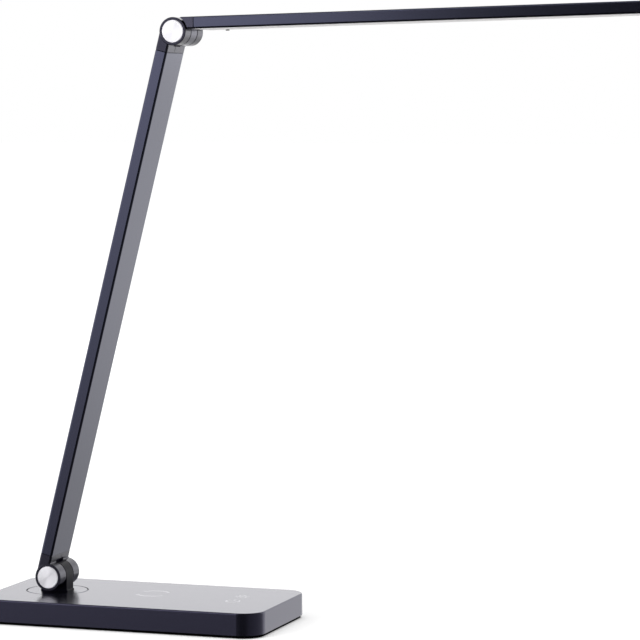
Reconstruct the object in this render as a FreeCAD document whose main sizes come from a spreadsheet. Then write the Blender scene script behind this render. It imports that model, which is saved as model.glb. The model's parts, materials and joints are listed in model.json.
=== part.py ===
import FreeCAD, Part
import Sketcher
import math
import os
import re

# Folding LED desk lamp on a weighted base that also charges a phone.
# Millimetres, +Z up. The origin is on the desk, under the middle of the base. The base is long
# along X, the head reaches out along +X, and every hinge pin lies along Y.

SIZES = {
    # Clearances shared by the fits
    "overrun": 1.0,
    "running_clear": 0.05,
    "axial_clear": 0.05,
    "fit_clear": 0.1,
    "thread_clear": 0.05,
    # Base shell, its bottom cover and its pad
    "base_length": 202.6,
    "base_width": 102.6,
    "base_height": 17.0,
    "corner_radius": 15.0,
    "edge_round": 1.0,
    "cover_top": 2.4,
    "cover_wall": 2.0,
    "skirt_height": 2.2,
    "strip_inset": 1.25,
    "pad_thick": 0.9,
    "pad_proud": 0.35,
    "pad_margin": 2.0,
    "lid_lip": 1.2,
    "lid_clear": 0.3,
    "boss_radius": 3.4,
    "boss_inset": 11.0,
    "screw_radius": 1.5,
    "screw_head_radius": 2.8,
    "screw_head_depth": 1.5,
    "screw_length": 9.0,
    "screw_tip_room": 0.6,
    # Inside the base
    "weight_swivel_gap": 33.0,
    "weight_end_gap": 28.0,
    "weight_width": 80.0,
    "weight_thick": 5.5,
    "weight_bevel": 0.8,
    "board_thick": 1.6,
    "board_room": 0.6,
    "power_board_length": 22.0,
    "power_board_width": 46.0,
    "inlet_depth": 9.5,
    "inlet_width": 9.0,
    "inlet_body_height": 8.4,
    "inlet_axis_rise": 4.3,
    "inlet_nose_radius": 4.0,
    "inlet_bore_radius": 2.8,
    "inlet_bore_depth": 9.0,
    "inlet_contact_radius": 1.05,
    "inlet_contact_set_back": 1.0,
    "coil_shift": 7.0,
    "coil_outer_radius": 21.0,
    "coil_inner_radius": 9.5,
    "coil_thick": 1.4,
    "ferrite_radius": 23.0,
    "ferrite_thick": 0.8,
    "carrier_wall": 2.0,
    "carrier_rim": 0.6,
    "touch_inset": 35.0,
    "touch_spacing": 16.0,
    "touch_pad_radius": 5.0,
    "touch_pad_thick": 1.2,
    "touch_board_length": 22.0,
    "touch_board_width": 36.0,
    "lead_radius": 1.0,
    "lead_clear": 0.3,
    # Swivel
    "swivel_inset": 38.6,
    "swivel_limit_deg": 90.0,
    "turntable_radius": 20.65,
    "turntable_thick": 2.6,
    "turntable_bevel": 0.3,
    "ring_gap": 0.65,
    "cup_wall": 2.0,
    "cup_floor": 2.2,
    "slip_thick": 0.5,
    "slip_width": 3.0,
    "stem_radius": 4.6,
    "stem_tail": 0.4,
    "groove_radius": 16.8,
    "groove_depth": 1.4,
    "lug_radius": 1.4,
    "lug_clear": 0.3,
    "swivel_washer_width": 4.0,
    "swivel_washer_thick": 0.6,
    "swivel_spring_height": 0.9,
    "swivel_spring_thick": 0.5,
    "swivel_nut_wall": 2.6,
    "swivel_nut_thick": 2.4,
    # Hinges, the same at both ends of the arm
    "axis_rise": 10.9,
    "barrel_radius": 9.3,
    "rim_bevel": 0.4,
    "knuckle_width": 11.2,
    "ear_gap": 0.5,
    "rim_proud": 0.5,
    "pin_radius": 3.0,
    "pin_head_radius": 5.0,
    "pin_head_thick": 2.2,
    "pin_tail": 0.2,
    "bush_wall": 1.2,
    "recess_radius": 6.3,
    "recess_depth": 4.9,
    "cap_radius": 7.55,
    "cap_thick": 1.5,
    "cap_bevel": 0.35,
    "cap_clip_length": 1.2,
    "cap_clip_wall": 0.8,
    "friction_washer_width": 4.4,
    "hinge_spring_width": 2.2,
    "hinge_spring_height": 0.85,
    "hinge_spring_thick": 0.45,
    "hinge_nut_wall": 1.7,
    "hinge_nut_thick": 2.4,
    # Bracket on the turntable
    "flange_width": 0.6,
    "flange_height": 1.0,
    "flange_bevel": 0.4,
    "small_screw_radius": 0.9,
    "small_screw_head_radius": 1.7,
    "small_screw_head_depth": 1.0,
    "small_screw_length": 7.0,
    "small_screw_wall": 0.6,
    # Arm
    "arm_length": 380.0,
    "arm_tilt_deg": 14.05,
    "arm_width": 32.0,
    "arm_thick": 8.45,
    "arm_set_in": 0.1,
    "arm_edge": 1.3,
    "tube_wall": 1.2,
    "seam_bevel": 0.3,
    "fork_seam": 14.7,
    "fork_web_round": 0.6,
    "lower_notch_clear": 1.9,
    "upper_notch_clear": 1.0,
    "spigot_length": 16.0,
    "slit_shift": 2.2,
    "slit_width": 0.6,
    "slit_depth": 0.5,
    "slit_end": 1.0,
    # Head
    "head_length": 340.0,
    "head_rise_deg": 1.28,
    "head_width": 32.0,
    "head_thick": 8.05,
    "head_edge": 1.2,
    "block_seam": 14.7,
    "block_nose": 5.5,
    "block_clear": 1.0,
    "housing_wall": 1.4,
    "housing_top": 1.2,
    "tip_thick": 4.0,
    "tip_tongue": 6.0,
    "light_start": 11.5,
    "light_gap": 0.4,
    "spreader_thick": 1.2,
    "reflector_thick": 0.3,
    "guide_thick": 2.8,
    "diffuser_proud": 0.3,
    "pry_notch_length": 3.3,
    "pry_notch_width": 1.2,
    "pry_notch_depth": 1.2,
    "strip_thick": 1.0,
    "chip_length": 2.8,
    "chip_height": 1.6,
    "chip_depth": 0.8,
    "chip_gap": 0.15,
    "chip_margin": 5.0,
    "chip_count": 24,
}

# Places worked out from the sizes, written in the same names
PLACES = {
    "swivel_offset": "base_length / 2 - swivel_inset",
    "touch_shift": "base_length / 2 - touch_inset",
    "lid_top": "skirt_height + lid_lip",
    "ceiling": "base_height - cover_top",
    "inside_top": "base_height - cover_top / 2",
    "board_top": "lid_top + board_thick",
    "weight_top": "lid_top + weight_thick",
    "inner_left": "-base_length / 2 + cover_wall + board_room",
    "inlet_axis": "board_top + inlet_axis_rise",
    "ferrite_top": "ceiling - coil_thick",
    "ferrite_bottom": "ferrite_top - ferrite_thick",
    "touch_pad_bottom": "ceiling - touch_pad_thick",
    "turntable_bottom": "base_height - turntable_thick",
    "recess_floor": "turntable_bottom - axial_clear - slip_thick",
    "cup_bottom": "recess_floor - cup_floor",
    "swivel_washer_top": "cup_bottom - axial_clear",
    "swivel_spring_top": "swivel_washer_top - swivel_washer_thick - axial_clear",
    "swivel_nut_top": "swivel_spring_top - swivel_spring_height - axial_clear",
    "stem_end": "swivel_nut_top - swivel_nut_thick - stem_tail",
    "groove_half": "lug_radius + lug_clear",
    "screw_ring": "stem_radius + small_screw_wall + small_screw_head_radius + 2 * fit_clear",
    "slip_inner": "screw_ring + small_screw_head_radius + ring_gap",
    "axis_height": "base_height + axis_rise",
    "bush_outer": "pin_radius + running_clear + bush_wall",
    "lead_bore": "lead_radius + lead_clear",
    "knuckle_half": "knuckle_width / 2",
    "ear_inner": "knuckle_half + ear_gap",
    "barrel_half": "arm_width / 2 + rim_proud",
    "cap_seat": "barrel_half - cap_thick",
    "web_outer": "cap_seat - recess_depth",
    "hinge_nut_start": "web_outer + 2 * hinge_spring_height + 3 * axial_clear",
    "pin_end": "hinge_nut_start + hinge_nut_thick + pin_tail",
    "arm_outer": "barrel_radius - arm_set_in",
    "arm_inner": "arm_outer - arm_thick",
    "arm_middle": "arm_outer - arm_thick / 2",
    "lower_notch": "barrel_radius + lower_notch_clear",
    "upper_notch": "barrel_radius + upper_notch_clear",
    "web_round_x": "fork_web_round - arm_inner",
    "web_reach": "barrel_radius + fork_web_round",
    "web_round_z": "sqrt(web_reach * web_reach - web_round_x * web_round_x)",
    "head_top": "barrel_radius",
    "head_bottom": "head_top - head_thick",
    "housing_end": "head_length - tip_thick",
    "housing_half": "head_width / 2 - housing_wall",
    "housing_ceiling": "head_top - housing_top",
    "light_left": "block_seam + light_start",
    "light_right": "housing_end - tip_tongue - light_gap",
    "spreader_bottom": "housing_ceiling - spreader_thick",
    "guide_top": "spreader_bottom - reflector_thick",
    "guide_bottom": "guide_top - guide_thick",
    "diffuser_bottom": "head_bottom - diffuser_proud",
    "tongue_bottom": "guide_bottom + fit_clear",
    "tongue_top": "housing_ceiling - fit_clear",
    "tongue_middle": "(tongue_bottom + tongue_top) / 2",
    "guide_rear": "housing_half - fit_clear - strip_thick - chip_depth - chip_gap",
}

doc = FreeCAD.newDocument("desk_lamp")
sheet = doc.addObject("Spreadsheet::Sheet", "dims")
for row, (size_name, size) in enumerate(SIZES.items(), start=1):
    sheet.set(f"A{row}", size_name)
    sheet.set(f"B{row}", str(size))
    sheet.setAlias(f"B{row}", size_name)
doc.recompute()

X_AXIS = FreeCAD.Vector(1, 0, 0)
Y_AXIS = FreeCAD.Vector(0, 1, 0)
Z_AXIS = FreeCAD.Vector(0, 0, 1)
PLANES = {"X": "YZ_Plane", "Y": "XZ_Plane", "Z": "XY_Plane"}
# Which way the normal of each origin plane points along its axis
FACING = {"X": 1, "Y": -1, "Z": 1}
PARALLEL_SHARE = 0.999
SAME_PLACE = 1e-4

pieces = []


def spelled(text):
    """Turns the names in a formula into references to the sheet's cells."""

    def cell(found):
        name = found.group()
        if name in SIZES:
            return f"dims.{name}"
        if name in PLACES:
            return f"({spelled(PLACES[name])})"
        return name

    return re.sub(r"[a-z][a-z_]*", cell, text)


def bind(thing, attribute, text):
    thing.setExpression(attribute, spelled(text))


def new_body(name):
    body = doc.addObject("PartDesign::Body", name)
    body.Label = name
    return body


def new_piece(name):
    """A sub-part that is written to a file of its own."""
    body = new_body(name)
    pieces.append(body)
    return body


def group(name, members):
    """Several separate solids in one sub-part."""
    made = doc.addObject("Part::Compound", name)
    made.Label = name
    made.Links = members
    pieces.append(made)
    return made


# Sketches and the features made from them


def sketch_across(body, axis, start, x="0", y="0"):
    """A sketch square to an axis, at a place along it, with its own origin moved to x, y."""
    sketch = body.newObject("Sketcher::SketchObject", f"{body.Name}_sketch")
    plane = [feature for feature in body.Origin.OriginFeatures if feature.Role == PLANES[axis]]
    sketch.AttachmentSupport = [(plane[0], "")]
    sketch.MapMode = "FlatFace"
    bind(sketch, "AttachmentOffset.Base.x", x)
    bind(sketch, "AttachmentOffset.Base.y", y)
    bind(sketch, "AttachmentOffset.Base.z", f"{FACING[axis]} * ({start})")
    return sketch


def set_place(sketch, geometry, corner, place):
    """Ties a point of a sketch to its distances from the sketch's origin."""
    for direction, text in zip(("DistanceX", "DistanceY"), place):
        index = sketch.addConstraint(Sketcher.Constraint(direction, -1, 1, geometry, corner, 1.0))
        bind(sketch, f"Constraints[{index}]", text)


def polygon(sketch, points):
    count = len(points)
    turns = [2 * math.pi * step / count for step in range(count)]
    guess = [FreeCAD.Vector(math.cos(turn), math.sin(turn), 0) for turn in turns]
    first = sketch.GeometryCount
    for step in range(count):
        sketch.addGeometry(Part.LineSegment(guess[step], guess[(step + 1) % count]))
    for step in range(count):
        following = first + (step + 1) % count
        sketch.addConstraint(Sketcher.Constraint("Coincident", first + step, 2, following, 1))
        set_place(sketch, first + step, 1, points[step])


def circle(sketch, centre, radius):
    geometry = sketch.addGeometry(Part.Circle(FreeCAD.Vector(), Z_AXIS, 1))
    set_place(sketch, geometry, 3, centre)
    index = sketch.addConstraint(Sketcher.Constraint("Radius", geometry, 1.0))
    bind(sketch, f"Constraints[{index}]", radius)


def extrude(body, sketch, axis, length, cut):
    """Adds or cuts from the sketch towards the positive end of its axis."""
    kind = "PartDesign::Pocket" if cut else "PartDesign::Pad"
    feature = body.newObject(kind, f"{body.Name}_feature")
    feature.Profile = sketch
    feature.Reversed = (FACING[axis] < 0) != cut
    bind(feature, "Length", length)


def block(body, x, y, z, cut=False):
    sketch = sketch_across(body, "Z", z[0])
    polygon(sketch, [(x[0], y[0]), (x[1], y[0]), (x[1], y[1]), (x[0], y[1])])
    extrude(body, sketch, "Z", f"{z[1]} - ({z[0]})", cut)


def rod(body, axis, centre, radii, span, cut=False):
    """A round bar along an axis, or a tube where two radii are given."""
    sketch = sketch_across(body, axis, span[0])
    for radius in radii:
        circle(sketch, centre, radius)
    extrude(body, sketch, axis, f"{span[1]} - ({span[0]})", cut)


def hexagon(body, axis, flat, hole, span):
    """A hexagon nut by the radius of its flats."""
    sketch = sketch_across(body, axis, span[0])
    turns = [60 * step for step in range(6)]
    corner = f"({flat}) / cos(30)"
    polygon(sketch, [(f"{corner} * cos({turn})", f"{corner} * sin({turn})") for turn in turns])
    circle(sketch, ("0", "0"), hole)
    extrude(body, sketch, axis, f"{span[1]} - ({span[0]})", False)


def turned(body, plane, points, x="0", y="0", cut=False, sweep="360"):
    """A profile turned about a sketch's upright axis: Z on the Y plane, Y on the Z plane."""
    across = "0" if plane == "Z" else y
    sketch = sketch_across(body, plane, across, x=x)
    polygon(sketch, points)
    kind = "PartDesign::Groove" if cut else "PartDesign::Revolution"
    feature = body.newObject(kind, f"{body.Name}_feature")
    feature.Profile = sketch
    feature.ReferenceAxis = (sketch, ["V_Axis"])
    feature.Midplane = True
    bind(feature, "Angle", sweep)


def hollow_out(body, cavity):
    """Takes one body's shape out of another."""
    feature = body.newObject("PartDesign::Boolean", f"{body.Name}_feature")
    feature.Type = "Cut"
    feature.setObjects([cavity])


# Edges to round or bevel, chosen by where they lie


def runs_along(axis):
    def wanted(edge, box):
        straight = isinstance(edge.Curve, Part.Line)
        return straight and abs(edge.tangentAt(edge.FirstParameter).dot(axis)) > PARALLEL_SHARE

    return wanted


def outer_corner(edge, box):
    """Upright edges at the corners of the outline."""
    middle = edge.CenterOfMass
    on_side = min(middle.x - box.XMin, box.XMax - middle.x) < SAME_PLACE
    on_front = min(middle.y - box.YMin, box.YMax - middle.y) < SAME_PLACE
    return runs_along(Z_AXIS)(edge, box) and on_side and on_front


def on_top(edge, box):
    return all(abs(vertex.Z - box.ZMax) < SAME_PLACE for vertex in edge.Vertexes)


def on_z_ends(edge, box):
    low = all(abs(vertex.Z - box.ZMin) < SAME_PLACE for vertex in edge.Vertexes)
    return low or on_top(edge, box)


def on_right(edge, box):
    return all(abs(vertex.X - box.XMax) < SAME_PLACE for vertex in edge.Vertexes)


def on_x_ends(edge, box):
    low = all(abs(vertex.X - box.XMin) < SAME_PLACE for vertex in edge.Vertexes)
    return low or on_right(edge, box)


def dress(body, kind, attribute, size, wanted):
    doc.recompute()
    base = body.Tip
    box = FreeCAD.BoundBox()
    for vertex in base.Shape.Vertexes:
        box.add(vertex.Point)
    chosen = [
        f"Edge{index}"
        for index, edge in enumerate(base.Shape.Edges, start=1)
        if wanted(edge, box)
    ]
    feature = body.newObject(kind, f"{body.Name}_edges")
    feature.Base = (base, chosen)
    bind(feature, attribute, size)


def round_edges(body, radius, wanted):
    dress(body, "PartDesign::Fillet", "Radius", radius, wanted)


def bevel_edges(body, size, wanted):
    dress(body, "PartDesign::Chamfer", "Size", size, wanted)


# Where the pieces of each moving body are placed


def on_swivel(piece, rise="0"):
    bind(piece, "Placement.Base.x", "-swivel_offset")
    bind(piece, "Placement.Base.z", rise)


def on_arm(piece, along="0"):
    piece.Placement.Rotation = FreeCAD.Rotation(Y_AXIS, sheet.arm_tilt_deg)
    bind(piece, "Placement.Rotation.Angle", "arm_tilt_deg")
    bind(piece, "Placement.Base.x", f"{along} * sin(arm_tilt_deg) - swivel_offset")
    bind(piece, "Placement.Base.z", f"axis_height + {along} * cos(arm_tilt_deg)")


def turned_on_arm(piece):
    """The far end of the arm, for a piece turned end for end."""
    piece.Placement.Rotation = FreeCAD.Rotation(X_AXIS, 180)
    bind(piece, "Placement.Rotation.Axis.x", "cos(arm_tilt_deg / 2)")
    bind(piece, "Placement.Rotation.Axis.z", "-sin(arm_tilt_deg / 2)")
    bind(piece, "Placement.Base.x", "arm_length * sin(arm_tilt_deg) - swivel_offset")
    bind(piece, "Placement.Base.z", "axis_height + arm_length * cos(arm_tilt_deg)")


def on_head(piece):
    piece.Placement.Rotation = FreeCAD.Rotation(Y_AXIS, -sheet.head_rise_deg)
    bind(piece, "Placement.Rotation.Angle", "-head_rise_deg")
    bind(piece, "Placement.Base.x", "arm_length * sin(arm_tilt_deg) - swivel_offset")
    bind(piece, "Placement.Base.z", "axis_height + arm_length * cos(arm_tilt_deg)")


# Base


def outline(inset):
    """The base's rectangle drawn in by an inset."""
    x_half = f"(base_length / 2 - ({inset}))"
    y_half = f"(base_width / 2 - ({inset}))"
    return (f"-{x_half}", x_half), (f"-{y_half}", y_half)


def corner_places(inset):
    x, y = outline(inset)
    return [(side, front) for side in x for front in y]


def base_top_cover():
    body = new_piece("base_top_cover")
    x, y = outline("0")
    block(body, x, y, ("skirt_height", "base_height"))
    round_edges(body, "corner_radius", outer_corner)
    round_edges(body, "edge_round", on_top)
    cavity = new_body("cover_cavity")
    x, y = outline("cover_wall")
    block(cavity, x, y, ("skirt_height - overrun", "ceiling"))
    round_edges(cavity, "corner_radius - cover_wall", outer_corner)
    hollow_out(body, cavity)
    swivel = ("-swivel_offset", "0")
    recess = "turntable_radius + ring_gap"
    rod(body, "Z", swivel, [f"{recess} + cup_wall"], ("cup_bottom", "inside_top"))
    rod(body, "Z", swivel, [recess], ("recess_floor", "base_height + overrun"), cut=True)
    bore = ("cup_bottom - overrun", "recess_floor + overrun")
    rod(body, "Z", swivel, ["stem_radius + running_clear"], bore, cut=True)
    stop_groove(body)
    hole_top = "pad_thick + screw_length + screw_tip_room"
    for place in corner_places("boss_inset"):
        rod(body, "Z", place, ["boss_radius"], ("lid_top", "inside_top"))
        hole = ("lid_top - overrun", hole_top)
        rod(body, "Z", place, ["screw_radius + thread_clear"], hole, cut=True)
    wall = ("-base_length / 2 - overrun", "-base_length / 2 + cover_wall + overrun")
    rod(body, "X", ("0", "inlet_axis"), ["inlet_nose_radius + fit_clear"], wall, cut=True)


def stop_groove(body):
    """An arc in the floor of the recess, which the turntable's lug runs along to its two ends."""
    near = "-groove_radius + groove_half"
    far = "-groove_radius - groove_half"
    low = "recess_floor - groove_depth"
    high = "recess_floor + overrun"
    corners = [(far, low), (near, low), (near, high), (far, high)]
    sweep = "2 * (swivel_limit_deg * 1 deg + asin(groove_half / groove_radius))"
    turned(body, "Y", corners, x="-swivel_offset", cut=True, sweep=sweep)


def base_bottom_cover():
    body = new_piece("base_bottom_cover")
    lip_inset = "cover_wall + lid_clear"
    x, y = outline(lip_inset)
    block(body, x, y, ("pad_proud", "lid_top"))
    round_edges(body, f"corner_radius - ({lip_inset})", outer_corner)
    x, y = outline("strip_inset")
    block(body, x, y, ("pad_proud", "skirt_height"))
    round_edges(body, "corner_radius - strip_inset", outer_corner)
    recess = new_body("pad_recess")
    inset = "strip_inset + pad_margin - fit_clear"
    x, y = outline(inset)
    block(recess, x, y, ("pad_proud - overrun", "pad_thick"))
    round_edges(recess, f"corner_radius - ({inset})", outer_corner)
    hollow_out(body, recess)
    head = "screw_head_radius + fit_clear"
    shank = "screw_radius + fit_clear"
    seat = [
        ("0", "pad_thick - overrun"),
        (head, "pad_thick - overrun"),
        (head, "pad_thick"),
        (shank, "pad_thick + screw_head_depth"),
        (shank, "lid_top + overrun"),
        ("0", "lid_top + overrun"),
    ]
    for place in corner_places("boss_inset"):
        turned(body, "Y", seat, x=place[0], y=place[1], cut=True)


def countersunk_screw(name, place, start, radius, head, depth, length):
    body = new_body(name)
    profile = [
        ("0", start),
        (head, start),
        (radius, f"{start} + {depth}"),
        (radius, f"{start} + {length}"),
        ("0", f"{start} + {length}"),
    ]
    turned(body, "Y", profile, x=place[0], y=place[1])
    return body


def base_screws():
    screws = [
        countersunk_screw(
            f"base_screw_{number}",
            place,
            "pad_thick",
            "screw_radius",
            "screw_head_radius",
            "screw_head_depth",
            "screw_length",
        )
        for number, place in enumerate(corner_places("boss_inset"))
    ]
    group("base_screws", screws)


def non_slip_pad():
    body = new_piece("non_slip_pad")
    inset = "strip_inset + pad_margin"
    x, y = outline(inset)
    block(body, x, y, ("0", "pad_thick"))
    round_edges(body, f"corner_radius - ({inset})", outer_corner)


def counterweight():
    body = new_piece("counterweight")
    x = ("weight_swivel_gap - swivel_offset", "base_length / 2 - weight_end_gap")
    y = ("-weight_width / 2", "weight_width / 2")
    block(body, x, y, ("lid_top", "weight_top"))
    bevel_edges(body, "weight_bevel", on_top)


def power_board():
    body = new_piece("power_board")
    x = ("inner_left", "inner_left + power_board_length")
    y = ("-power_board_width / 2", "power_board_width / 2")
    block(body, x, y, ("lid_top", "board_top"))


def dc_inlet():
    """A round power socket in the end wall, with its contact standing in the middle."""
    body = new_piece("dc_inlet")
    y = ("-inlet_width / 2", "inlet_width / 2")
    z = ("board_top", "board_top + inlet_body_height")
    block(body, ("inner_left", "inner_left + inlet_depth"), y, z)
    axis = ("0", "inlet_axis")
    outside = "-base_length / 2"
    rod(body, "X", axis, ["inlet_nose_radius"], (outside, "inner_left"))
    annulus = ["inlet_bore_radius", "inlet_contact_radius"]
    rod(body, "X", axis, annulus, (outside, f"{outside} + inlet_bore_depth"), cut=True)
    mouth = (f"{outside} - overrun", f"{outside} + inlet_contact_set_back")
    rod(body, "X", axis, ["inlet_bore_radius"], mouth, cut=True)


def charging_stack():
    """The charging coil under the cover, its ferrite sheet and the carrier that stands on the weight."""
    centre = ("coil_shift", "0")
    carrier = new_piece("coil_carrier")
    span = ("weight_top", "ferrite_bottom + carrier_rim")
    rod(carrier, "Z", centre, ["ferrite_radius + fit_clear + carrier_wall"], span)
    seat = ("ferrite_bottom", "ferrite_bottom + carrier_rim + overrun")
    rod(carrier, "Z", centre, ["ferrite_radius + fit_clear"], seat, cut=True)
    ferrite = new_piece("ferrite_sheet")
    rod(ferrite, "Z", centre, ["ferrite_radius"], ("ferrite_bottom", "ferrite_top"))
    coil = new_piece("charging_coil")
    radii = ["coil_outer_radius", "coil_inner_radius"]
    rod(coil, "Z", centre, radii, ("ferrite_top", "ceiling"))


def touch_controls():
    """Two touch electrodes against the cover, on their board."""
    pads = []
    for number, side in enumerate(("-1", "1")):
        pad = new_body(f"touch_pad_{number}")
        place = ("touch_shift", f"{side} * touch_spacing / 2")
        rod(pad, "Z", place, ["touch_pad_radius"], ("touch_pad_bottom", "ceiling"))
        pads.append(pad)
    group("touch_pads", pads)
    board = new_piece("touch_board")
    x = ("touch_shift - touch_board_length / 2", "touch_shift + touch_board_length / 2")
    y = ("-touch_board_width / 2", "touch_board_width / 2")
    block(board, x, y, ("touch_pad_bottom - board_thick", "touch_pad_bottom"))


def base_lead():
    body = new_piece("base_lead")
    span = ("inner_left + power_board_length", "-swivel_offset + lead_radius")
    rod(body, "X", ("0", "lid_top + lead_radius"), ["lead_radius"], span)


def slip_washer():
    body = new_piece("slip_washer")
    radii = ["slip_inner + slip_width", "slip_inner"]
    rod(body, "Z", ("-swivel_offset", "0"), radii, ("recess_floor", "recess_floor + slip_thick"))


# Swivel, drawn about its own axis


SCREW_SIDES = ("-1", "1")


def turntable():
    body = new_piece("turntable")
    centre = ("0", "0")
    rod(body, "Z", centre, ["turntable_radius"], ("turntable_bottom", "base_height"))
    bevel_edges(body, "turntable_bevel", on_top)
    through = ("turntable_bottom - overrun", "base_height + overrun")
    rod(body, "Z", centre, ["stem_radius + fit_clear"], through, cut=True)
    lug_bottom = "recess_floor - groove_depth + lug_clear"
    rod(body, "Z", ("-groove_radius", "0"), ["lug_radius"], (lug_bottom, "turntable_bottom"))
    head = "small_screw_head_radius + fit_clear"
    shank = "small_screw_radius + fit_clear"
    seat = [
        ("0", "turntable_bottom - overrun"),
        (head, "turntable_bottom - overrun"),
        (head, "turntable_bottom"),
        (shank, "turntable_bottom + small_screw_head_depth"),
        (shank, "base_height + overrun"),
        ("0", "base_height + overrun"),
    ]
    for side in SCREW_SIDES:
        turned(body, "Y", seat, x=f"{side} * screw_ring", cut=True)
    on_swivel(body)


def turntable_screws():
    screws = [
        countersunk_screw(
            f"turntable_screw_{number}",
            (f"{side} * screw_ring", "0"),
            "turntable_bottom",
            "small_screw_radius",
            "small_screw_head_radius",
            "small_screw_head_depth",
            "small_screw_length",
        )
        for number, side in enumerate(SCREW_SIDES)
    ]
    on_swivel(group("turntable_screws", screws))


def hinge_bracket():
    """The lower hinge's middle knuckle, on a foot whose hollow stem goes down through the base."""
    body = new_piece("hinge_bracket")
    x = ("-barrel_radius - flange_width", "barrel_radius + flange_width")
    y = ("-knuckle_half", "knuckle_half")
    block(body, x, y, ("base_height", "base_height + flange_height"))
    bevel_edges(body, "flange_bevel", on_top)
    block(body, ("-barrel_radius", "barrel_radius"), y, ("base_height", "axis_height"))
    axis = ("0", "axis_height")
    rod(body, "Y", axis, ["barrel_radius"], y)
    centre = ("0", "0")
    rod(body, "Z", centre, ["stem_radius"], ("stem_end", "base_height"))
    through = ("-knuckle_half - overrun", "knuckle_half + overrun")
    rod(body, "Y", axis, ["bush_outer + fit_clear"], through, cut=True)
    rod(body, "Z", centre, ["lead_bore"], ("stem_end - overrun", "axis_height"), cut=True)
    hole = ("base_height - overrun", "turntable_bottom + small_screw_length + screw_tip_room")
    for side in SCREW_SIDES:
        place = (f"{side} * screw_ring", "0")
        rod(body, "Z", place, ["small_screw_radius + thread_clear"], hole, cut=True)
    on_swivel(body)


def swivel_fasteners():
    centre = ("0", "0")
    inner = "stem_radius + fit_clear"
    outer = f"{inner} + swivel_washer_width"
    washer = new_piece("swivel_washer")
    span = ("swivel_washer_top - swivel_washer_thick", "swivel_washer_top")
    rod(washer, "Z", centre, [outer, inner], span)
    spring = new_piece("swivel_spring")
    low = "swivel_spring_top - swivel_spring_height"
    profile = [
        (inner, low),
        (outer, "swivel_spring_top - swivel_spring_thick"),
        (outer, "swivel_spring_top"),
        (inner, f"{low} + swivel_spring_thick"),
    ]
    turned(spring, "Y", profile)
    nut = new_piece("swivel_nut")
    span = ("swivel_nut_top - swivel_nut_thick", "swivel_nut_top")
    hexagon(nut, "Z", "stem_radius + swivel_nut_wall", "stem_radius + thread_clear", span)
    for piece in (washer, spring, nut):
        on_swivel(piece)


def swivel_lead():
    body = new_piece("swivel_lead")
    low = "lid_top + 2 * lead_radius + fit_clear"
    high = "axis_height - bush_outer - fit_clear"
    rod(body, "Z", ("0", "0"), ["lead_radius"], (low, high))
    on_swivel(body)


# Hinges, drawn about their own axis


def barrel(body, near, far):
    """A length of hinge barrel with both its rims bevelled."""
    profile = [
        ("0", near),
        ("barrel_radius - rim_bevel", near),
        ("barrel_radius", f"{near} + rim_bevel"),
        ("barrel_radius", f"{far} - rim_bevel"),
        ("barrel_radius - rim_bevel", far),
        ("0", far),
    ]
    turned(body, "Z", profile)


def hinge_bush(name):
    body = new_piece(name)
    radii = ["bush_outer", "pin_radius + running_clear"]
    rod(body, "Y", ("0", "0"), radii, ("-knuckle_half", "knuckle_half"))
    return body


def hinge_pin(name):
    body = new_piece(name)
    profile = [
        ("0", "-web_outer - pin_head_thick"),
        ("pin_head_radius", "-web_outer - pin_head_thick"),
        ("pin_head_radius", "-web_outer"),
        ("pin_radius", "-web_outer"),
        ("pin_radius", "pin_end"),
        ("0", "pin_end"),
    ]
    turned(body, "Z", profile)
    return body


def friction_washers(name):
    """One washer each side of the middle knuckle, between it and the ear."""
    inner = "pin_radius + fit_clear"
    near = "knuckle_half + axial_clear"
    far = "ear_inner - axial_clear"
    washers = []
    for span in ((f"-({far})", f"-({near})"), (near, far)):
        washer = new_body(f"{name}_{len(washers)}")
        rod(washer, "Y", ("0", "0"), [f"{inner} + friction_washer_width", inner], span)
        washers.append(washer)
    return group(name, washers)


def spring_washers(name):
    """Two cone springs, mouth to mouth, that press the ears together."""
    inner = "pin_radius + fit_clear"
    outer = f"{inner} + hinge_spring_width"
    first = "web_outer + axial_clear"
    middle = f"{first} + hinge_spring_height"
    second = f"{middle} + axial_clear"
    last = f"{second} + hinge_spring_height"
    profiles = [
        [
            (inner, first),
            (inner, f"{first} + hinge_spring_thick"),
            (outer, middle),
            (outer, f"{middle} - hinge_spring_thick"),
        ],
        [
            (inner, last),
            (inner, f"{last} - hinge_spring_thick"),
            (outer, second),
            (outer, f"{second} + hinge_spring_thick"),
        ],
    ]
    springs = []
    for profile in profiles:
        spring = new_body(f"{name}_{len(springs)}")
        turned(spring, "Z", profile)
        springs.append(spring)
    return group(name, springs)


def hinge_nut(name):
    body = new_piece(name)
    span = ("hinge_nut_start", "hinge_nut_start + hinge_nut_thick")
    hexagon(body, "Y", "pin_radius + hinge_nut_wall", "pin_radius + thread_clear", span)
    return body


def hinge_cap(name, side):
    """A spun metal disc that closes one end of the barrel, with a clip ring behind it."""
    body = new_piece(name)
    profile = [
        ("0", f"{side} * cap_seat"),
        ("cap_radius", f"{side} * cap_seat"),
        ("cap_radius", f"{side} * (barrel_half - cap_bevel)"),
        ("cap_radius - cap_bevel", f"{side} * barrel_half"),
        ("0", f"{side} * barrel_half"),
    ]
    turned(body, "Z", profile)
    clip = "recess_radius - fit_clear"
    ends = ["cap_seat - cap_clip_length", "cap_seat"]
    span = ends if side == "1" else [f"-({end})" for end in reversed(ends)]
    rod(body, "Y", ("0", "0"), [clip, f"{clip} - cap_clip_wall"], span)
    return body


def arm_hinge_parts(end, along):
    """What turns with the arm in one of its two hinges."""
    made = [
        hinge_pin(f"{end}_hinge_pin"),
        friction_washers(f"{end}_friction_washers"),
        spring_washers(f"{end}_spring_washers"),
        hinge_nut(f"{end}_hinge_nut"),
        hinge_cap(f"{end}_front_cap", "-1"),
        hinge_cap(f"{end}_rear_cap", "1"),
    ]
    for piece in made:
        on_arm(piece, along)


# Arm, drawn upright from the lower hinge's axis, with its outer face towards -X


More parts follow.
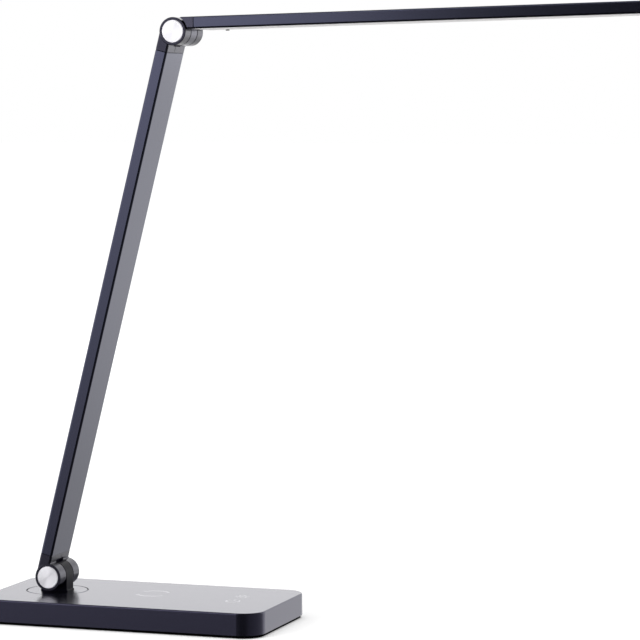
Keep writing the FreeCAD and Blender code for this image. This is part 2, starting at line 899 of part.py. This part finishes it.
ARM_X = ("-arm_outer", "-arm_inner")
ARM_Y = ("-arm_width / 2", "arm_width / 2")


def fork(name, notch):
    """A forked end: two ears round the hinge, a web between them and a spigot for the tube."""
    body = new_piece(name)
    axis = ("0", "0")
    block(body, ARM_X, ARM_Y, ("0", "fork_seam"))
    round_edges(body, "arm_edge", runs_along(Z_AXIS))
    bevel_edges(body, "seam_bevel", on_top)
    block(body, ("-arm_inner", "web_round_x"), ARM_Y, ("0", "web_round_z"))
    scoop = ("-arm_width / 2 - overrun", "arm_width / 2 + overrun")
    rod(body, "Y", ("web_round_x", "web_round_z"), ["fork_web_round"], scoop, cut=True)
    span = "(barrel_radius + overrun)"
    ears = ("-ear_inner", "ear_inner")
    block(body, (f"-{span}", span), ears, (f"-{span}", notch), cut=True)
    barrel(body, "-(barrel_half)", "-(ear_inner)")
    barrel(body, "ear_inner", "barrel_half")
    inset = "tube_wall + fit_clear"
    x = (f"-arm_outer + {inset}", f"-arm_inner - ({inset})")
    y_half = f"(arm_width / 2 - ({inset}))"
    spigot_end = "fork_seam + spigot_length"
    block(body, x, (f"-{y_half}", y_half), ("fork_seam", spigot_end))
    through = ("-barrel_half - overrun", "barrel_half + overrun")
    rod(body, "Y", axis, ["pin_radius + fit_clear"], through, cut=True)
    for radius, depth in (("recess_radius", "web_outer"), ("cap_radius + fit_clear", "cap_seat")):
        rod(body, "Y", axis, [radius], (depth, "barrel_half + overrun"), cut=True)
        rod(body, "Y", axis, [radius], ("-barrel_half - overrun", f"-({depth})"), cut=True)
    channel = (f"{notch} - overrun", f"{spigot_end} + overrun")
    rod(body, "Z", ("-arm_middle", "0"), ["lead_bore"], channel, cut=True)
    x = ("-arm_inner - slit_depth", "-arm_inner + overrun")
    y = ("slit_shift - slit_width / 2", "slit_shift + slit_width / 2")
    block(body, x, y, (f"{notch} - overrun", "fork_seam - slit_end"), cut=True)
    return body


def arm_tube():
    body = new_piece("arm_tube")
    ends = ("fork_seam", "arm_length - fork_seam")
    block(body, ARM_X, ARM_Y, ends)
    round_edges(body, "arm_edge", runs_along(Z_AXIS))
    bevel_edges(body, "seam_bevel", on_z_ends)
    x = ("-arm_outer + tube_wall", "-arm_inner - tube_wall")
    y = ("-arm_width / 2 + tube_wall", "arm_width / 2 - tube_wall")
    block(body, x, y, ("fork_seam - overrun", "arm_length - fork_seam + overrun"), cut=True)
    on_arm(body)


def arm_lead():
    body = new_piece("arm_lead")
    span = ("lower_notch", "arm_length - upper_notch")
    rod(body, "Z", ("-arm_middle", "0"), ["lead_radius"], span)
    on_arm(body)


# Head, drawn level from the upper hinge's axis along +X


HEAD_Y = ("-head_width / 2", "head_width / 2")
HEAD_Z = ("head_bottom", "head_top")
LIGHT_X = ("light_left", "light_right")
TONGUE_Z = ("tongue_bottom", "tongue_top")
LIGHT_HALF = "(housing_half - fit_clear)"
LIGHT_Y = (f"-{LIGHT_HALF}", LIGHT_HALF)


def head_block():
    """The head's end block: the upper hinge's middle knuckle and a tongue for the housing."""
    body = new_piece("head_block")
    axis = ("0", "0")
    block(body, ("block_nose", "block_seam"), HEAD_Y, HEAD_Z)
    round_edges(body, "head_edge", runs_along(X_AXIS))
    bevel_edges(body, "seam_bevel", on_right)
    sweep = ("-head_width / 2 - overrun", "head_width / 2 + overrun")
    rod(body, "Y", axis, ["barrel_radius + block_clear"], sweep, cut=True)
    y = ("-(knuckle_half)", "knuckle_half")
    block(body, ("0", "block_seam - seam_bevel"), y, HEAD_Z)
    barrel(body, *y)
    tongue = ("block_seam", "light_left - light_gap")
    block(body, tongue, LIGHT_Y, TONGUE_Z)
    through = ("-knuckle_half - overrun", "knuckle_half + overrun")
    rod(body, "Y", axis, ["bush_outer + fit_clear"], through, cut=True)
    channel = ("bush_outer", "light_left + overrun")
    rod(body, "X", ("0", "tongue_middle"), ["lead_bore"], channel, cut=True)
    on_head(body)


def head_housing():
    body = new_piece("head_housing")
    block(body, ("block_seam", "housing_end"), HEAD_Y, HEAD_Z)
    round_edges(body, "head_edge", runs_along(X_AXIS))
    bevel_edges(body, "seam_bevel", on_x_ends)
    x = ("block_seam - overrun", "housing_end + overrun")
    z = ("head_bottom - overrun", "housing_ceiling")
    block(body, x, ("-housing_half", "housing_half"), z, cut=True)
    on_head(body)


def head_tip():
    body = new_piece("head_tip")
    block(body, ("housing_end", "head_length"), HEAD_Y, HEAD_Z)
    round_edges(body, "head_edge", runs_along(X_AXIS))
    bevel_edges(body, "seam_bevel", on_x_ends)
    x = ("housing_end - tip_tongue", "housing_end")
    block(body, x, LIGHT_Y, TONGUE_Z)
    on_head(body)


def light_panel():
    """The flat layers above the diffuser, from the housing's inner face down."""
    lit = (f"-{LIGHT_HALF}", "guide_rear")
    layers = {
        "heat_spreader": (LIGHT_Y, ("spreader_bottom", "housing_ceiling")),
        "reflector_sheet": (lit, ("guide_top", "spreader_bottom")),
        "light_guide": (lit, ("guide_bottom", "guide_top")),
    }
    for name, (width, depth) in layers.items():
        body = new_piece(name)
        block(body, LIGHT_X, width, depth)
        on_head(body)


def diffuser():
    """The white panel in the open underside, with a notch in its rear edge to lift it by."""
    body = new_piece("diffuser")
    x = ("block_seam + light_gap", "housing_end - light_gap")
    block(body, x, LIGHT_Y, ("diffuser_bottom", "guide_bottom"))
    notch = ("light_left", "light_left + pry_notch_length")
    rear = (f"{LIGHT_HALF} - pry_notch_width", f"{LIGHT_HALF} + overrun")
    rise = ("diffuser_bottom - overrun", "diffuser_bottom + pry_notch_depth")
    block(body, notch, rear, rise, cut=True)
    on_head(body)


def led_strip():
    """The strip of light-emitting chips that shines into the rear edge of the guide."""
    board = new_piece("led_board")
    y = (f"{LIGHT_HALF} - strip_thick", LIGHT_HALF)
    block(board, LIGHT_X, y, ("guide_bottom", "spreader_bottom"))
    on_head(board)
    count = int(sheet.chip_count)
    first = "light_left + chip_margin"
    pitch = f"(light_right - light_left - 2 * chip_margin - chip_length) / {count - 1}"
    chips = []
    for number in range(count):
        chip = doc.addObject("Part::Box", f"led_chip_{number}")
        bind(chip, "Length", "chip_length")
        bind(chip, "Width", "chip_depth")
        bind(chip, "Height", "chip_height")
        bind(chip, "Placement.Base.x", f"{first} + {number} * {pitch}")
        bind(chip, "Placement.Base.y", f"{LIGHT_HALF} - strip_thick - chip_depth")
        bind(chip, "Placement.Base.z", "(guide_bottom + guide_top - chip_height) / 2")
        chips.append(chip)
    on_head(group("led_chips", chips))


def head_lead():
    body = new_piece("head_lead")
    span = ("bush_outer + lead_bore", "light_left - fit_clear")
    rod(body, "X", ("0", "tongue_middle"), ["lead_radius"], span)
    on_head(body)


def build():
    base_top_cover()
    base_bottom_cover()
    base_screws()
    non_slip_pad()
    counterweight()
    power_board()
    dc_inlet()
    charging_stack()
    touch_controls()
    base_lead()
    slip_washer()
    turntable()
    turntable_screws()
    hinge_bracket()
    swivel_fasteners()
    swivel_lead()
    on_swivel(hinge_bush("lower_hinge_bush"), "axis_height")
    arm_hinge_parts("lower", "0")
    on_arm(fork("arm_lower_fork", "lower_notch"))
    arm_tube()
    arm_lead()
    turned_on_arm(fork("arm_upper_fork", "upper_notch"))
    arm_hinge_parts("upper", "arm_length")
    on_head(hinge_bush("upper_hinge_bush"))
    head_block()
    head_housing()
    head_tip()
    light_panel()
    diffuser()
    led_strip()
    head_lead()
    doc.recompute()


def check():
    for thing in doc.Objects:
        if "Invalid" in thing.State or "Error" in thing.State:
            raise RuntimeError(f"{thing.Label} failed: {thing.getStatusString()}")
    for piece in pieces:
        shape = piece.Shape
        if shape.isNull() or not shape.isValid() or shape.Volume <= 0:
            raise RuntimeError(f"{piece.Label} has no valid shape")


def write():
    os.makedirs("parts", exist_ok=True)
    for piece in pieces:
        piece.Shape.exportStep(f"parts/{piece.Label}.step")
        print(f"{piece.Label}: {len(piece.Shape.Solids)} solids, {piece.Shape.Volume:.1f} mm3")


build()
check()
write()
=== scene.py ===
"""Dresses the desk lamp: finishes, marks on the base, a dark tab under the head as painted shade, a plain
studio and the camera.
"""

import json
import math
from typing import NamedTuple

import bmesh
import bpy
from mathutils import Matrix, Vector


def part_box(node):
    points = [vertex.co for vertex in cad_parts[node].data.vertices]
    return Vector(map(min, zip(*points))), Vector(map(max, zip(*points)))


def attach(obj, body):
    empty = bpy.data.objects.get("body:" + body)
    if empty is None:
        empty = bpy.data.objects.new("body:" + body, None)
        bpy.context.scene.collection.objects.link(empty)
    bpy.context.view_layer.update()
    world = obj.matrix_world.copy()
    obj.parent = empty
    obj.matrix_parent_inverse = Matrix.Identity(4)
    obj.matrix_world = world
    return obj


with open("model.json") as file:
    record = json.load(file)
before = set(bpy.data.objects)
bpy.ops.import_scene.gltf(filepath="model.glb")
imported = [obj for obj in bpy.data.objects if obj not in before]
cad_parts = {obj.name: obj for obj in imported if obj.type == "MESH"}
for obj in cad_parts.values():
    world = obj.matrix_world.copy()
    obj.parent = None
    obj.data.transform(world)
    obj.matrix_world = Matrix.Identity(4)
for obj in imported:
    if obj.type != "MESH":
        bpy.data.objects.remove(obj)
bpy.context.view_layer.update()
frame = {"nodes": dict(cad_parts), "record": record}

MM = 0.001
FULL_TURN_DEG = 360
WHITE = (1.0, 1.0, 1.0, 1.0)
NO_TINT = (1.0, 1.0, 1.0)
SQUARE_CORNERS = ((-1, -1), (1, -1), (1, 1), (-1, 1))
ONE_FACE = [(0, 1, 2, 3)]


class Finish(NamedTuple):
    """A surface: its colour, how rough it is, the size and depth of its grain, and its gloss."""

    colour: tuple
    roughness: float
    grain_mm: float
    grain_depth: float
    metallic: float = 0.0
    ior: float = 1.5
    tint: tuple = NO_TINT


class Lamp(NamedTuple):
    """A softbox, in metres and watts. Reflections show it only if it is mirrored."""

    place: tuple
    aim: tuple
    width: float
    height: float
    watts: float
    mirrored: bool = False


# Camera, in metres, at the photograph's viewing angle
CAMERA_PLACE = Vector((0.7371, -1.8204, 0.3417))
CAMERA_AIM = Vector((0.1269, 0.0, 0.2064))
CAMERA_LENS_MM = 164.11
CAMERA_SENSOR_MM = 36.0

# Marks on the top of the base, in metres
MARK_LIFT = 0.005 * MM
MARK_STROKE = 1.0 * MM
CHARGE_CENTRE = (5.3 * MM, 6 * MM)
CHARGE_RADIUS = 11 * MM
CHARGE_STROKE = 2.0 * MM
CHARGE_ARCS_DEG = ((35, 145), (215, 325))
TOUCH_PLACES = ((67.4 * MM, -6 * MM), (67.4 * MM, 13.5 * MM))
TOUCH_RADIUS = 4.6 * MM
RAY_GAP = 1.2 * MM
RAY_LENGTH = 1.6 * MM
RAY_COUNT = 8
POWER_TURN_DEG = 90
POWER_GAP_DEG = 70
ARC_STEP_DEG = 4

# Dark tab in the notch of the light panel, painted shade of the notch, in metres, and the head's rise at
# rest, which it follows
TAB_MIDDLE = Vector((57.2 * MM, 13.9 * MM, 398.38 * MM))
TAB_SIZE = (2.8 * MM, 0.9 * MM, 1.75 * MM)
TAB_TAPER = 0.85
TAB_EDGE = 0.12 * MM
TAB_EDGE_STEPS = 2
TAB_EDGE_PROFILE = 0.5
HEAD_RISE_DEG = 1.28

# Finishes by the record's slots, with two more: a glossier copy of black plastic for the head block, which is
# painted sheen, and the printed marks
FINISHES = {
    "satin_shell": Finish((0.004, 0.004, 0.006), 0.22, 0.35, 0.03, ior=1.75, tint=(0.6, 0.58, 0.95)),
    "black_plastic": Finish((0.004, 0.004, 0.006), 0.22, 0.3, 0.03, ior=1.9, tint=(0.34, 0.33, 0.48)),
    # A glossier copy of the black plastic: painted sheen that makes the head block and its knuckle read
    # lighter
    "block_plastic_painted_sheen": Finish((0.004, 0.004, 0.006), 0.22, 0.3, 0.03, ior=2.1, tint=(0.44, 0.43, 0.62)),
    # Near-unreflective black: partly the bottom cover's own matte black, partly painted shade of the strip
    # under the base's overhang
    "strip_black": Finish((0.0015, 0.0015, 0.0015), 0.9, 0.4, 0.1, ior=1.08),
    "cast_bracket": Finish((0.003, 0.0025, 0.0075), 0.3, 0.35, 0.06, ior=1.14, tint=(0.8, 0.8, 1.0)),
    "black_anodised": Finish((0.0015, 0.0015, 0.0025), 0.16, 0.2, 0.02, ior=1.9, tint=(0.54, 0.56, 0.87)),
    "rubber_pad": Finish((0.01, 0.01, 0.01), 0.8, 0.8, 0.2, ior=1.4),
    "steel": Finish((0.6, 0.6, 0.62), 0.3, 0.5, 0.03, metallic=1.0),
    "bearing_brass": Finish((0.75, 0.58, 0.28), 0.28, 0.5, 0.03, metallic=1.0),
    "bearing_plastic": Finish((0.78, 0.78, 0.74), 0.45, 0.5, 0.03),
    "circuit_board": Finish((0.02, 0.16, 0.06), 0.4, 1.5, 0.03),
    "inlet_black": Finish((0.012, 0.012, 0.013), 0.45, 0.4, 0.04),
    "carrier_grey": Finish((0.25, 0.25, 0.26), 0.5, 0.5, 0.03),
    "ferrite": Finish((0.05, 0.05, 0.055), 0.6, 0.6, 0.06),
    "copper": Finish((0.72, 0.34, 0.18), 0.3, 0.5, 0.03, metallic=1.0),
    "lead_jacket": Finish((0.02, 0.02, 0.02), 0.5, 0.5, 0.03, ior=1.45),
    "bare_aluminium": Finish((0.75, 0.75, 0.77), 0.35, 0.5, 0.03, metallic=1.0),
    "white_film": Finish((0.85, 0.85, 0.85), 0.3, 0.5, 0.01),
    "clear_acrylic": Finish((0.85, 0.9, 0.9), 0.1, 1.0, 0.01, ior=1.49),
    "frosted_white": Finish((0.74, 0.73, 0.73), 0.5, 0.6, 0.02),
    "phosphor": Finish((0.9, 0.72, 0.25), 0.4, 0.3, 0.03),
    "mark_print": Finish((0.32, 0.32, 0.32), 0.22, 0.35, 0.03, ior=1.75, tint=(0.6, 0.58, 0.95)),
}
# Nodes whose finish is a glossier copy of their slot's own, painted sheen that makes them read lighter
PAINTED_SHEEN_FINISHES = {"head_block": "block_plastic_painted_sheen"}
# How far the colour and the roughness vary with the grain
TONE_SPREAD = 0.08
ROUGH_SPREAD = 0.06
GRAIN_DETAIL = 3
BUMP_DISTANCE = 0.05 * MM

# Spun metal discs
DISC_COLOUR = (0.9, 0.89, 0.95)
DISC_METALLIC = 0.4
DISC_ROUGHNESS = 0.35
DISC_ANISOTROPY = 0.9
DISC_GRAIN_TURN = 0.25
DISC_GRAIN_MM = 0.12

# Contact pin in the power inlet: its mount in the record, its metal, and how far past its radius that goes
PIN_MOUNT = "power_inlet_contact"
PIN_COLOUR = (0.78, 0.75, 0.68, 1.0)
PIN_MARGIN = 1.1

# Floor, in metres: its glow to the camera is given as (distance from the middle, strength)
FLOOR_HALF = 30.0
FLOOR_COLOUR = (0.9, 0.9, 0.9, 1.0)
FLOOR_NEAR = (0.8, 0.3)
FLOOR_FAR = (2.2, 0.6)

# Ambient light, and a white cove that is dark behind the camera
AMBIENT = 0.55
# Level of the cove in reflections, by the turn from -Y towards +X in degrees
COVE = {
    -180: 1.33,
    -100: 1.1,
    -70: 1.3,
    -52: 1.3,
    -40: 2.7,
    -19.4: 2.9,
    -16.6: 0.04,
    28: 0.05,
    45: 0.2,
    90: 0.34,
    125: 0.5,
    140: 1.22,
    180: 1.33,
}
# Highest level there by the height of the direction, and what is added to it by the turn
LIMIT = {
    -1.0: 0.05,
    -0.5: 0.08,
    -0.17: 0.38,
    -0.113: 0.71,
    -0.07: 1.02,
    -0.026: 1.45,
    0.026: 2.3,
    0.07: 3.0,
    0.15: 0.9,
    0.3: 0.6,
    0.38: 3.0,
    1.0: 3.0,
}
RELEASE = {-180: 3.0, -42: 3.0, -35: 0.0, 70: 0.0, 100: 3.0, 180: 3.0}
# Share of the cove's level, by the height of the direction
FADE = {
    -1.0: 0.05,
    -0.6: 0.1,
    -0.42: 0.5,
    -0.3: 0.7,
    -0.27: 0.87,
    -0.22: 1.1,
    -0.13: 1.08,
    -0.05: 1.0,
    0.55: 1.0,
    0.8: 0.3,
    1.0: 0.25,
}
LAMPS = {
    "left_softbox": Lamp((-1.35, -1.95, 0.9), (0.1, 0.0, 0.25), width=1.5, height=1.4, watts=36),
    "back_softbox": Lamp((0.1, 2.3, 0.3), (0.1, 0.0, 0.2), width=3.6, height=0.6, watts=3, mirrored=True),
    "top_softbox": Lamp((0.1, 0.1, 2.4), (0.1, 0.0, 0.0), width=1.8, height=1.8, watts=22),
}


# Shader nodes


def link(tree, source, output, target, entry):
    """Joins an output of one node to an input of another, by their names or numbers."""
    tree.links.new(source.outputs[output], target.inputs[entry])


def maths(tree, operation, first, second):
    """A Math node whose two inputs are sockets or plain numbers."""
    node = tree.nodes.new("ShaderNodeMath")
    node.operation = operation
    for entry, value in zip(node.inputs, (first, second)):
        if isinstance(value, bpy.types.NodeSocket):
            tree.links.new(value, entry)
        else:
            entry.default_value = value
    return node.outputs["Value"]


def ranged(tree, value, start, end, smooth=False):
    """Maps a value between two (from, to) pairs, held at both ends."""
    node = tree.nodes.new("ShaderNodeMapRange")
    node.interpolation_type = "SMOOTHSTEP" if smooth else "LINEAR"
    tree.links.new(value, node.inputs["Value"])
    node.inputs["From Min"].default_value, node.inputs["To Min"].default_value = start
    node.inputs["From Max"].default_value, node.inputs["To Max"].default_value = end
    return node.outputs["Result"]


def levels(tree, value, stops):
    """Levels between stops of a value, as given by a dict in rising order."""
    low, *between, high = stops
    ramp = tree.nodes.new("ShaderNodeValToRGB")
    tree.links.new(ranged(tree, value, (low, 0.0), (high, 1.0)), ramp.inputs["Fac"])
    marks = ramp.color_ramp.elements
    for stop in between:
        marks.new((stop - low) / (high - low))
    for mark, level in zip(marks, stops.values()):
        mark.color = (level, level, level, 1.0)
    return ramp.outputs["Color"]


# Materials


def new_material(name):
    """A new material, its node tree and its shader."""
    material = bpy.data.materials.new(name)
    material.use_nodes = True
    return material, material.node_tree, material.node_tree.nodes["Principled BSDF"]


def grain_of(tree, size):
    """Fine noise in the object's own space, by the size of its grain in millimetres."""
    place = tree.nodes.new("ShaderNodeTexCoord")
    noise = tree.nodes.new("ShaderNodeTexNoise")
    noise.inputs["Scale"].default_value = 1 / (size * MM)
    noise.inputs["Detail"].default_value = GRAIN_DETAIL
    link(tree, place, "Object", noise, "Vector")
    return noise


def tone(tree, noise, colour, shader):
    """Lets the colour vary a little with the grain."""
    ramp = tree.nodes.new("ShaderNodeValToRGB")
    for stop, share in zip(ramp.color_ramp.elements, (1 - TONE_SPREAD, 1 + TONE_SPREAD)):
        stop.color = (*(min(part * share, 1.0) for part in colour), 1.0)
    link(tree, noise, "Fac", ramp, "Fac")
    link(tree, ramp, "Color", shader, "Base Color")


def finish_material(name, finish):
    """A material whose colour, roughness and bump follow one fine grain."""
    material, tree, shader = new_material(name)
    noise = grain_of(tree, finish.grain_mm)
    tone(tree, noise, finish.colour, shader)
    smoothest = finish.roughness - ROUGH_SPREAD / 2
    roughest = finish.roughness + ROUGH_SPREAD / 2
    rough = ranged(tree, noise.outputs["Fac"], (0.0, smoothest), (1.0, roughest))
    tree.links.new(rough, shader.inputs["Roughness"])
    bump = tree.nodes.new("ShaderNodeBump")
    bump.inputs["Strength"].default_value = finish.grain_depth
    bump.inputs["Distance"].default_value = BUMP_DISTANCE
    link(tree, noise, "Fac", bump, "Height")
    link(tree, bump, "Normal", shader, "Normal")
    shader.inputs["Metallic"].default_value = finish.metallic
    shader.inputs["IOR"].default_value = finish.ior
    shader.inputs["Specular Tint"].default_value = (*finish.tint, 1.0)
    return material


def spun_material(name):
    """Bright metal that shines in fans, as if turned round the hinge's axis."""
    material, tree, shader = new_material(name)
    noise = grain_of(tree, DISC_GRAIN_MM)
    tone(tree, noise, DISC_COLOUR, shader)
    tangent = tree.nodes.new("ShaderNodeTangent")
    tangent.direction_type = "RADIAL"
    tangent.axis = "Y"
    link(tree, tangent, "Tangent", shader, "Tangent")
    shader.inputs["Metallic"].default_value = DISC_METALLIC
    shader.inputs["Roughness"].default_value = DISC_ROUGHNESS
    shader.inputs["Anisotropic"].default_value = DISC_ANISOTROPY
    shader.inputs["Anisotropic Rotation"].default_value = DISC_GRAIN_TURN
    return material


def metal_pin(material):
    """Turns the inlet's material to metal round the axis of its contact pin."""
    pin = next(mount for mount in frame["record"]["mounts"] if mount["name"] == PIN_MOUNT)
    _, side, height = pin["pos_m"]
    tree = material.node_tree
    shader = tree.nodes["Principled BSDF"]
    place = tree.nodes.new("ShaderNodeSeparateXYZ")
    link(tree, tree.nodes.new("ShaderNodeTexCoord"), "Object", place, "Vector")
    across = maths(tree, "SUBTRACT", place.outputs["Y"], side)
    up = maths(tree, "SUBTRACT", place.outputs["Z"], height)
    squared = maths(tree, "ADD", maths(tree, "MULTIPLY", across, across), maths(tree, "MULTIPLY", up, up))
    reach = pin["dims"]["r_mm"] * MM * PIN_MARGIN
    on_pin = maths(tree, "LESS_THAN", squared, reach * reach)
    mix = tree.nodes.new("ShaderNodeMixRGB")
    mix.inputs["Color2"].default_value = PIN_COLOUR
    tree.links.new(on_pin, mix.inputs["Fac"])
    tree.links.new(shader.inputs["Base Color"].links[0].from_socket, mix.inputs["Color1"])
    link(tree, mix, "Color", shader, "Base Color")
    tree.links.new(on_pin, shader.inputs["Metallic"])


def dress_nodes():
    """Gives every CAD node its finish, and returns the materials by name."""
    materials = {name: finish_material(name, finish) for name, finish in FINISHES.items()}
    materials["spun_silver"] = spun_material("spun_silver")
    metal_pin(materials["inlet_black"])
    for part in frame["record"]["subparts"]:
        # The head block takes the glossier copy of its slot's finish, which is painted sheen
        name = PAINTED_SHEEN_FINISHES.get(part["node"], part["material_slot"])
        mesh = frame["nodes"][part["node"]].data
        mesh.materials.clear()
        mesh.materials.append(materials[name])
    return materials


# Pieces


def add_piece(mesh, material, body):
    """Adds a mesh as a piece that rides on a body."""
    mesh.materials.append(material)
    piece = bpy.data.objects.new(mesh.name, mesh)
    bpy.context.scene.collection.objects.link(piece)
    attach(piece, body)


def arc(centre, radius, start_deg, end_deg, height, stroke=MARK_STROKE):
    """A flat stroke along part of a circle, as corners and faces."""
    steps = max(1, round((end_deg - start_deg) / ARC_STEP_DEG))
    corners = []
    for step in range(steps + 1):
        turn = math.radians(start_deg + (end_deg - start_deg) * step / steps)
        for reach in (radius - stroke / 2, radius + stroke / 2):
            corners.append((centre[0] + reach * math.cos(turn), centre[1] + reach * math.sin(turn), height))
    faces = [(2 * step, 2 * step + 1, 2 * step + 3, 2 * step + 2) for step in range(steps)]
    return corners, faces


def dash(centre, near, far, turn_deg, height):
    """A flat straight stroke that points away from a centre, as corners and faces."""
    turn = math.radians(turn_deg)
    along = Vector((math.cos(turn), math.sin(turn)))
    across = Vector((-along.y, along.x)) * MARK_STROKE / 2
    middle = Vector(centre)
    ends = [
        middle + along * near - across,
        middle + along * far - across,
        middle + along * far + across,
        middle + along * near + across,
    ]
    return [(end.x, end.y, height) for end in ends], ONE_FACE


def add_mark(name, strokes, material):
    """Adds strokes to the base as one flat piece."""
    corners, faces = [], []
    for stroke_corners, stroke_faces in strokes:
        first = len(corners)
        corners.extend(stroke_corners)
        faces.extend(tuple(first + corner for corner in face) for face in stroke_faces)
    mesh = bpy.data.meshes.new(name)
    mesh.from_pydata(corners, [], faces)
    add_piece(mesh, material, "base")


def add_marks(material):
    """Adds two arcs where a phone charges, and a mark for each touch control."""
    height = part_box("base_top_cover")[1].z + MARK_LIFT
    arcs = [arc(CHARGE_CENTRE, CHARGE_RADIUS, *ends, height, CHARGE_STROKE) for ends in CHARGE_ARCS_DEG]
    add_mark("charging_mark", arcs, material)
    power_centre, light_centre = TOUCH_PLACES
    ring_start = POWER_TURN_DEG + POWER_GAP_DEG / 2
    ring_end = POWER_TURN_DEG + FULL_TURN_DEG - POWER_GAP_DEG / 2
    power = [
        arc(power_centre, TOUCH_RADIUS, ring_start, ring_end, height),
        dash(power_centre, TOUCH_RADIUS / 2, TOUCH_RADIUS + RAY_GAP, POWER_TURN_DEG, height),
    ]
    add_mark("power_mark", power, material)
    near = TOUCH_RADIUS / 2 + RAY_GAP
    far = near + RAY_LENGTH
    light = [arc(light_centre, TOUCH_RADIUS / 2, 0, FULL_TURN_DEG, height)]
    for ray in range(RAY_COUNT):
        light.append(dash(light_centre, near, far, FULL_TURN_DEG * ray / RAY_COUNT, height))
    add_mark("brightness_mark", light, material)


def add_shade_tab(material):
    """Adds a small tapered tab with rounded edges in the light panel's notch, a dark piece that is painted
    shade of the notch.
    """
    shape = bmesh.new()
    bmesh.ops.create_cube(shape, size=1)
    bmesh.ops.scale(shape, vec=TAB_SIZE, verts=shape.verts)
    lower = [corner for corner in shape.verts if corner.co.z < 0]
    bmesh.ops.scale(shape, vec=(TAB_TAPER, 1, 1), verts=lower)
    bmesh.ops.bevel(
        shape,
        geom=shape.edges,
        offset=TAB_EDGE,
        segments=TAB_EDGE_STEPS,
        affect="EDGES",
        profile=TAB_EDGE_PROFILE,
    )
    turn = Matrix.Rotation(math.radians(-HEAD_RISE_DEG), 4, "Y")
    bmesh.ops.transform(shape, matrix=Matrix.Translation(TAB_MIDDLE) @ turn, verts=shape.verts)
    mesh = bpy.data.meshes.new("panel_shade_tab")
    shape.to_mesh(mesh)
    shape.free()
    add_piece(mesh, material, "head")


# Studio


def place_towards(thing, place, aim):
    """Puts a camera or lamp into the scene, turned to what it aims at."""
    thing.location = place
    thing.rotation_euler = (Vector(aim) - Vector(place)).to_track_quat("-Z", "Y").to_euler()
    bpy.context.scene.collection.objects.link(thing)


def add_camera():
    """Adds the camera and makes it the scene's own."""
    lens = bpy.data.cameras.new("camera")
    lens.lens = CAMERA_LENS_MM
    lens.sensor_width = CAMERA_SENSOR_MM
    eye = bpy.data.objects.new("camera", lens)
    place_towards(eye, CAMERA_PLACE, CAMERA_AIM)
    bpy.context.scene.camera = eye


def add_lamps():
    """Adds the softboxes, which the camera doesn't see."""
    for name, lamp in LAMPS.items():
        light = bpy.data.lights.new(name, "AREA")
        light.shape = "RECTANGLE"
        light.size = lamp.width
        light.size_y = lamp.height
        light.energy = lamp.watts
        softbox = bpy.data.objects.new(name, light)
        softbox.visible_camera = False
        softbox.visible_glossy = lamp.mirrored
        place_towards(softbox, lamp.place, lamp.aim)


def add_world():
    """White to the camera, a white cove with a dark side in reflections, and plain ambient light."""
    studio = bpy.data.worlds.new("studio")
    studio.use_nodes = True
    bpy.context.scene.world = studio
    tree = studio.node_tree
    background = tree.nodes["Background"]
    background.inputs["Color"].default_value = WHITE
    path = tree.nodes.new("ShaderNodeLightPath").outputs
    direction = tree.nodes.new("ShaderNodeSeparateXYZ")
    link(tree, tree.nodes.new("ShaderNodeTexCoord"), "Generated", direction, "Vector")
    right, back, height = (direction.outputs[axis] for axis in "XYZ")
    turn = maths(tree, "ARCTAN2", right, maths(tree, "MULTIPLY", back, -1.0))
    degrees = maths(tree, "DEGREES", turn, 0.0)
    limit = maths(tree, "ADD", levels(tree, height, LIMIT), levels(tree, degrees, RELEASE))
    cove = maths(tree, "MINIMUM", levels(tree, degrees, COVE), limit)
    cove = maths(tree, "MULTIPLY", cove, levels(tree, height, FADE))
    mirrored = maths(tree, "MAXIMUM", path["Is Glossy Ray"], path["Is Transmission Ray"])
    lighting = ranged(tree, mirrored, (0.0, AMBIENT), (1.0, 0.0))
    lighting = maths(tree, "ADD", lighting, maths(tree, "MULTIPLY", mirrored, cove))
    strength = maths(tree, "MAXIMUM", lighting, path["Is Camera Ray"])
    tree.links.new(strength, background.inputs["Strength"])


def add_floor():
    """Adds a pale floor that turns white away from the lamp and keeps its shadow."""
    mesh = bpy.data.meshes.new("floor")
    mesh.from_pydata([(x * FLOOR_HALF, y * FLOOR_HALF, 0.0) for x, y in SQUARE_CORNERS], [], ONE_FACE)
    material, tree, _ = new_material("floor")
    tree.nodes.clear()
    diffuse = tree.nodes.new("ShaderNodeBsdfDiffuse")
    diffuse.inputs["Color"].default_value = FLOOR_COLOUR
    glow = tree.nodes.new("ShaderNodeEmission")
    path = tree.nodes.new("ShaderNodeLightPath").outputs
    distance = tree.nodes.new("ShaderNodeVectorMath")
    distance.operation = "LENGTH"
    link(tree, tree.nodes.new("ShaderNodeTexCoord"), "Object", distance, 0)
    lift = ranged(tree, distance.outputs["Value"], FLOOR_NEAR, FLOOR_FAR, smooth=True)
    tree.links.new(maths(tree, "MULTIPLY", lift, path["Is Camera Ray"]), glow.inputs["Strength"])
    both = tree.nodes.new("ShaderNodeAddShader")
    link(tree, diffuse, "BSDF", both, 0)
    link(tree, glow, "Emission", both, 1)
    link(tree, both, "Shader", tree.nodes.new("ShaderNodeOutputMaterial"), "Surface")
    mesh.materials.append(material)
    ground = bpy.data.objects.new("floor", mesh)
    ground.visible_glossy = False
    bpy.context.scene.collection.objects.link(ground)


materials = dress_nodes()
add_marks(materials["mark_print"])
# The tab's near-unreflective black is painted shade in the light panel's notch
add_shade_tab(materials["strip_black"])
add_camera()
add_lamps()
add_world()
add_floor()
bpy.context.scene.view_settings.view_transform = "Standard"
